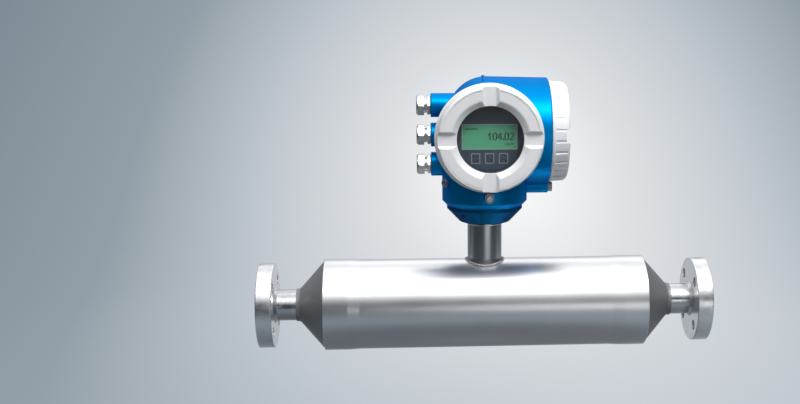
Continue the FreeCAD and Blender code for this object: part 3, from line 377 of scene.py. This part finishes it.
# The display: a dot-matrix panel with its reading, a bezel and three touch keys
lcdLow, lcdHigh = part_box("display_lcd")
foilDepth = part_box("display_module")[0].y
lcdSpan = lcdHigh - lcdLow
lcdCentre = (lcdLow + lcdHigh) / 2
# on either face, local x runs right, local y runs up and local z comes out to the reader
upright = Matrix.Rotation(math.pi / 2, 4, "X")
onPanel, onFoil = [Matrix.Translation((lcdCentre.x, depth, lcdCentre.z)) @ upright
                   for depth in (lcdLow.y, foilDepth)]

# all from the panel's middle; bold widens each run of dots, and every seventh dot of the line is left out
reading = {
    "right": 31.6 * mm, "dotGap": 0.04 * mm, "thick": 0.06 * mm,
    "words": [
        {"text": "104.02", "low": -4.6 * mm, "dotWide": 1.09 * mm, "dotHigh": 1.24 * mm, "bold": 0.30 * mm},
        {"text": "kg/h", "low": -11.4 * mm, "dotWide": 0.48 * mm, "dotHigh": 0.48 * mm, "bold": 0.16 * mm}],
    "line": {"left": -32.4 * mm, "low": 9.6 * mm, "dot": 0.5 * mm, "dots": 34, "every": 7, "high": 3},
}
glyphs = {
    "0": ("01110", "10001", "10001", "10001", "10001", "10001", "10001", "01110"),
    "1": ("00100", "01100", "10100", "00100", "00100", "00100", "00100", "00100"),
    "2": ("01110", "10001", "00001", "00001", "00010", "00100", "01000", "11111"),
    "4": ("00010", "00110", "01010", "01010", "10010", "11111", "00010", "00010"),
    ".": ("0", "0", "0", "0", "0", "0", "1", "1"),
    "k": ("10000", "10000", "10010", "10100", "11000", "10100", "10010", "00000"),
    "g": ("00000", "00000", "01111", "10001", "10001", "01111", "00001", "01110"),
    "/": ("00001", "00010", "00010", "00100", "00100", "01000", "10000", "00000"),
    "h": ("10000", "10000", "10110", "11001", "10001", "10001", "10001", "00000"),
}


def addWord(form, word):
    # a word that ends at the reading's right and stands on its own low line
    wide, high, bold, gap = word["dotWide"], word["dotHigh"], word["bold"], reading["dotGap"]
    columns = sum(len(glyphs[letter][0]) + 1 for letter in word["text"]) - 1
    left = reading["right"] - columns * wide
    for letter in word["text"]:
        rows = glyphs[letter]
        for down, row in enumerate(rows):
            for run in re.finditer("1+", row):
                start, end = run.span()
                dots = rectangle(left + start * wide - bold, word["low"] + (len(rows) - 1 - down) * high,
                                 (end - start) * wide - gap + 2 * bold, high - gap)
                addPlate(form, dots, reading["thick"], onPanel)
        left += (len(rows[0]) + 1) * wide


form = bmesh.new()
for word in reading["words"]:
    addWord(form, word)
line = reading["line"]
for step in range(line["dots"]):
    if (step + 1) % line["every"]:
        addPlate(form, rectangle(line["left"] + step * line["dot"], line["low"],
                                 line["dot"] - reading["dotGap"], line["dot"] * line["high"]),
                 reading["thick"], onPanel)
addPiece("lcdReading", meshOf(form), "lcdInk", "display_module")

bezel = {"line": 1.1 * mm, "thick": 0.12 * mm, "margin": 0.9 * mm}
form = bmesh.new()
addFrame(form, -lcdSpan.x / 2 - bezel["margin"], -lcdSpan.z / 2 - bezel["margin"],
         lcdSpan.x + 2 * bezel["margin"], lcdSpan.z + 2 * bezel["margin"],
         bezel["line"], bezel["thick"], onFoil)
addPiece("lcdBezel", meshOf(form), "printedGrey", "display_module")

touchKeys = {
    "count": 3, "pitch": 18.2 * mm, "width": 11.8 * mm, "height": 13.4 * mm, "down": 28.3 * mm,
    "line": 0.8 * mm, "thick": 0.12 * mm,
    # the two dark windows in each frame, from the key's middle, in mm
    "windows": [[(-3.6, 2.4), (3.6, 2.4), (4.0, 3.4), (3.2, 4.5), (-3.2, 4.5), (-4.0, 3.4)],
                [(-2.0, -5.0), (2.0, -5.0), (3.6, -3.4), (4.0, -0.9), (-4.0, -0.9), (-3.6, -3.4)]],
}
frames, windows = bmesh.new(), bmesh.new()
for step in range(touchKeys["count"]):
    x, y = (step - (touchKeys["count"] - 1) / 2) * touchKeys["pitch"], -touchKeys["down"]
    addFrame(frames, x - touchKeys["width"] / 2, y - touchKeys["height"] / 2, touchKeys["width"],
             touchKeys["height"], touchKeys["line"], touchKeys["thick"], onFoil)
    for outline in touchKeys["windows"]:
        addPlate(windows, [(x + across * mm, y + up * mm) for across, up in outline],
                 touchKeys["thick"], onFoil)
addPiece("keyFrames", meshOf(frames), "printedGrey", "display_module")
addPiece("keyWindows", meshOf(windows), "sensorDark", "display_module")
print("display dressed")


# The weld bead where the neck stands on the case: a rippled round cord along the curve where the two
# meet, set out from the neck by the lift
neckWeld = {
    "neckRadius": 23.4 * mm, "caseRadius": 61.3 * mm, "lift": 2.4 * mm, "steps": 420,
    "size": 1.5 * mm, "round": 10, "ripple": 1.5 * mm, "rise": 0.12,
}


def addNeckWeld():
    path, rises = [], []
    for angle in fullTurn(neckWeld["steps"]):
        x, y = neckWeld["neckRadius"] * math.cos(angle), neckWeld["neckRadius"] * math.sin(angle)
        z = math.sqrt(neckWeld["caseRadius"] ** 2 - y ** 2)
        offCase, offNeck = Vector((0, y, z)).normalized(), Vector((x, y, 0)).normalized()
        path.append(Vector((x, y, z)) + neckWeld["lift"] * offNeck)
        rises.append((offCase + offNeck).normalized())
    form = bmesh.new()
    rings = []
    length = 0.0
    for i, (point, rise) in enumerate(zip(path, rises)):
        ahead = (path[(i + 1) % len(path)] - path[i - 1]).normalized()
        side = ahead.cross(rise).normalized()
        length += (point - path[i - 1]).length if i else 0.0
        wave = math.sin(2 * math.pi * length / neckWeld["ripple"])
        thick = neckWeld["size"] * (1 + neckWeld["rise"] * wave)
        rings.append([form.verts.new(point + thick * (math.cos(turn) * side + math.sin(turn) * rise))
                      for turn in fullTurn(neckWeld["round"])])
    joinRings(form, rings, True)
    addPiece("neckWeld", meshOf(form), "weldSteel", "sensor")


addNeckWeld()
print("neck weld laid")


# The cast cones, with their slope run a little further out on the pipe than the solids' one.
# outside and inside are (distance from the middle of the sensor, radius) in mm, and edges that turn by
# more than sharp degrees stay crisp.
castCones = {
    "outside": [(219.2, 60.5), (250.6, 25.0), (252.0, 23.5), (253.6, 22.6), (255.2, 22.25), (258.0, 22.2)],
    "inside": [(258.0, 21.25), (244.0, 21.25), (219.2, 51.7)],
    "round": 144, "sharp": 25.0,
}


def addCone(name, side, node):
    form = bmesh.new()
    rings = [[form.verts.new((side * out * mm, radius * mm * math.cos(turn), radius * mm * math.sin(turn)))
              for turn in fullTurn(castCones["round"])]
             for out, radius in castCones["outside"] + castCones["inside"]]
    joinRings(form, rings, True)
    mesh = meshOf(form)
    mesh.set_sharp_from_angle(angle=math.radians(castCones["sharp"]))
    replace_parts(addPiece(name, mesh, "blastedCastCone", "sensor"), node)


addCone("inletCastCone", -1, "inlet_cone")
addCone("outletCastCone", 1, "outlet_cone")
print("cones turned")


# Studio
# The floor sweeps up into a low round wall. Its paper is palest behind the object and greyer outwards,
# a painted pool of light: tones gives its colour by distance from the centre, as a share of the reach, and
# weights stretches that distance along each axis.
# To mirrors and to the light that it throws back, the paper is greyer still under the object, a painted
# shadow, and further out before it, painted shade as of a dim room round a table: rings gives that share
# by metres from the middle, and it is whole again behind the object, where behind runs from its start to its
# end.
# stock is the paper's share for the light that it throws back, and evenness its own glow's share for
# the camera, mirrors and glass.
sweep = {
    "drop": 0.25, "flat": 1.6, "bend": 1.3, "wall": 1.15, "bendSteps": 24, "round": 128,
    # tones: a painted pool of light on the paper, palest at its centre
    "tones": [(0.0, "#ffffff"), (0.2, "#dee1e4"), (0.4, "#c0c7ce"), (0.6, "#929fa8"), (1.0, "#76818e")],
    "centre": Vector((0.213, 2.15, -0.088)), "weights": (1.0, 0.39, 0.973), "reach": 2.0,
    # rings: a painted shadow under the object and painted shade further out, as shares by metres from the
    # middle
    "rings": [(0.0, 0.50), (0.12, 0.40), (0.3, 0.40), (0.55, 1.0), (1.2, 1.0), (1.7, 0.08), (3.0, 0.08)],
    "behind": (0.3, 1.0),
    "roughness": (0.55, 0.65), "mottle": 1600.0, "evenness": 0.88, "stock": 0.12,
}
# Palest along the axis: start and end are where it turns pale and where it is full, from 0 for level
# to 1 for straight along the axis
sky = {
    "top": "#ffffff", "low": "#8f979f", "strength": 1.0,
    "axis": (0.0, 0.1, 0.995), "start": 0.1, "end": 0.55,
}
# Places and sizes in metres
softBoxes = {
    "overheadBox": {"place": (0.2, 0.1, 2.4), "aim": (0.0, 0.0, 0.1), "size": (2.4, 1.2), "watts": 6.0},
    "rearBox": {"place": (0.6, 2.3, 1.9), "aim": (0.0, 0.0, 0.1), "size": (2.4, 1.0), "watts": 5.0},
    "frontBox": {"place": (0.6, -1.45, 2.2), "aim": (0.0, 0.0, 0.2), "size": (2.0, 0.8), "watts": 52.0},
    "neckStrip": {"place": (0.57, -1.92, -0.09), "aim": (0.0, 0.0, 0.05), "size": (1.25, 0.42), "watts": 3.0},
}
# Place in metres, angles in degrees, focal length and sensor in millimetres, shift in sensor widths
lens = {
    "place": Vector((-0.098, -1.539, 0.391)), "heading": 3.76, "dip": 9.26, "roll": -0.03,
    "focal": 51.39, "sensor": 36.0, "shift": (-0.1085, 0.0005),
}


def sweepPaper():
    finish, tree, place = newFinish("sweepPaper")
    away = addNode(tree, "VectorMath", {0: place, 1: sweep["centre"]}, operation="SUBTRACT")
    weighed = addNode(tree, "VectorMath", {0: away.outputs[0], 1: sweep["weights"]}, operation="MULTIPLY")
    distance = addNode(tree, "VectorMath", {0: weighed.outputs[0]}, operation="LENGTH")
    parts = addNode(tree, "SeparateXYZ", {"Vector": place})
    level = addNode(tree, "CombineXYZ", {"X": parts.outputs["X"], "Y": parts.outputs["Y"]})
    radius = addNode(tree, "VectorMath", {0: level.outputs[0]}, operation="LENGTH")
    edge = sweep["rings"][-1][0]
    # tones paint a pool of light on the paper, palest behind the object and greyer outwards
    tones = [(share, linearColour(code)) for share, code in sweep["tones"]]
    paintedShadeShares = [(reach / edge, (share, share, share, 1.0)) for reach, share in sweep["rings"]]
    ramps = []
    for length, reach, marks in ((distance, sweep["reach"], tones), (radius, edge, paintedShadeShares)):
        part = addNode(tree, "MapRange", {"Value": length.outputs["Value"], "From Max": reach})
        ramp = addNode(tree, "ValToRGB", {"Fac": part.outputs["Result"]})
        stops = ramp.color_ramp.elements
        while len(stops) < len(marks):
            stops.new(0.5)
        for stop, (position, colour) in zip(stops, marks):
            stop.position = position
            stop.color = colour
        ramps.append(ramp)
    paintedPoolTone, rings = ramps
    start, end = sweep["behind"]
    behind = addNode(tree, "MapRange", {"Value": parts.outputs["Y"], "From Min": start, "From Max": end})
    path = addNode(tree, "LightPath")
    direct = addNode(tree, "Math", {0: path.outputs["Is Camera Ray"], 1: path.outputs["Is Transmission Ray"]},
                     operation="MAXIMUM")
    whole = addNode(tree, "Math", {0: behind.outputs["Result"], 1: direct.outputs[0]}, operation="MAXIMUM")
    # rings paint a shadow under the object and shade further out into the paper for mirrors and bounced
    # light; for the camera and behind the object it stays whole
    cast = addNode(tree, "Math", {0: rings.outputs["Color"], 1: whole.outputs[0]}, operation="MAXIMUM")
    shade = addNode(tree, "VectorMath", {0: paintedPoolTone.outputs["Color"], "Scale": cast.outputs[0]},
                    operation="SCALE")
    mottle = addNode(tree, "TexNoise", {"Vector": place, "Scale": perMetre(sweep["mottle"])})
    low, high = sweep["roughness"]
    rough = addNode(tree, "MapRange", {"Value": mottle.outputs["Fac"], "To Min": low, "To Max": high})
    bright = addNode(tree, "MapRange", {"Value": direct.outputs[0], "To Min": sweep["stock"]})
    stock = addNode(tree, "VectorMath", {0: shade.outputs[0], "Scale": bright.outputs[0]},
                    operation="SCALE")
    paper = addNode(tree, "BsdfPrincipled", {"Base Color": stock.outputs[0],
                                             "Roughness": rough.outputs["Result"]})
    own = addNode(tree, "Emission", {"Color": shade.outputs[0]})
    seen = addNode(tree, "Math", {0: direct.outputs[0], 1: path.outputs["Is Glossy Ray"]},
                   operation="MAXIMUM")
    share = addNode(tree, "Math", {0: seen.outputs[0], 1: sweep["evenness"]}, operation="MULTIPLY")
    both = addNode(tree, "MixShader", {0: share.outputs[0], 1: paper.outputs[0], 2: own.outputs[0]})
    addNode(tree, "OutputMaterial", {"Surface": both.outputs[0]})
    return finish


def addSweep():
    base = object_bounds()[0].z - sweep["drop"]
    profile = []
    for step in range(sweep["bendSteps"] + 1):
        angle = math.pi / 2 * step / sweep["bendSteps"]
        profile.append((sweep["flat"] + sweep["bend"] * math.sin(angle),
                        base + sweep["bend"] * (1 - math.cos(angle))))
    profile.append((profile[-1][0], sweep["wall"]))
    form = bmesh.new()
    centre = form.verts.new((0.0, 0.0, base))
    rings = [[form.verts.new((out * math.cos(turn), out * math.sin(turn), height))
              for turn in fullTurn(sweep["round"])] for out, height in profile]
    for here, after in zip(rings[0], rings[0][1:] + rings[0][:1]):
        form.faces.new((centre, here, after)).smooth = True
    joinRings(form, rings, False)
    mesh = meshOf(form)
    mesh.materials.append(sweepPaper())
    floor = bpy.data.objects.new("studioSweep", mesh)
    bpy.context.scene.collection.objects.link(floor)


def addSky():
    world = bpy.data.worlds.new("studioSky")
    bpy.context.scene.world = world
    world.use_nodes = True
    tree = world.node_tree
    tree.nodes.clear()
    place = addNode(tree, "TexCoord")
    along = addNode(tree, "VectorMath", {0: place.outputs["Generated"], 1: sky["axis"]},
                    operation="DOT_PRODUCT")
    rise = addNode(tree, "MapRange", {"Value": along.outputs["Value"], "From Min": sky["start"],
                                      "From Max": sky["end"]}, interpolation_type="SMOOTHSTEP")
    tone = addNode(tree, "Mix", {0: rise.outputs["Result"], 6: linearColour(sky["low"]),
                                 7: linearColour(sky["top"])}, data_type="RGBA")
    light = addNode(tree, "Background", {"Color": tone.outputs[2], "Strength": sky["strength"]})
    addNode(tree, "OutputWorld", {"Surface": light.outputs[0]})


def addSoftBoxes():
    for name, box in softBoxes.items():
        lamp = bpy.data.lights.new(name, "AREA")
        lamp.shape = "RECTANGLE"
        lamp.size, lamp.size_y = box["size"]
        lamp.energy = box["watts"]
        stand = bpy.data.objects.new(name, lamp)
        stand.location = box["place"]
        stand.rotation_euler = (Vector(box["aim"]) - Vector(box["place"])).to_track_quat("-Z", "Y").to_euler()
        bpy.context.scene.collection.objects.link(stand)


def addCamera():
    camera = bpy.data.cameras.new("camera")
    camera.lens = lens["focal"]
    camera.sensor_width = lens["sensor"]
    camera.shift_x, camera.shift_y = lens["shift"]
    stand = bpy.data.objects.new("camera", camera)
    stand.location = lens["place"]
    level = Euler((math.radians(90 - lens["dip"]), 0.0, math.radians(-lens["heading"]))).to_matrix()
    stand.rotation_euler = (level @ Matrix.Rotation(math.radians(lens["roll"]), 3, "Z")).to_euler()
    bpy.context.scene.collection.objects.link(stand)
    bpy.context.scene.camera = stand


addSweep()
addSky()
addSoftBoxes()
addCamera()
bpy.context.scene.view_settings.view_transform = "Standard"
print("studio set up")
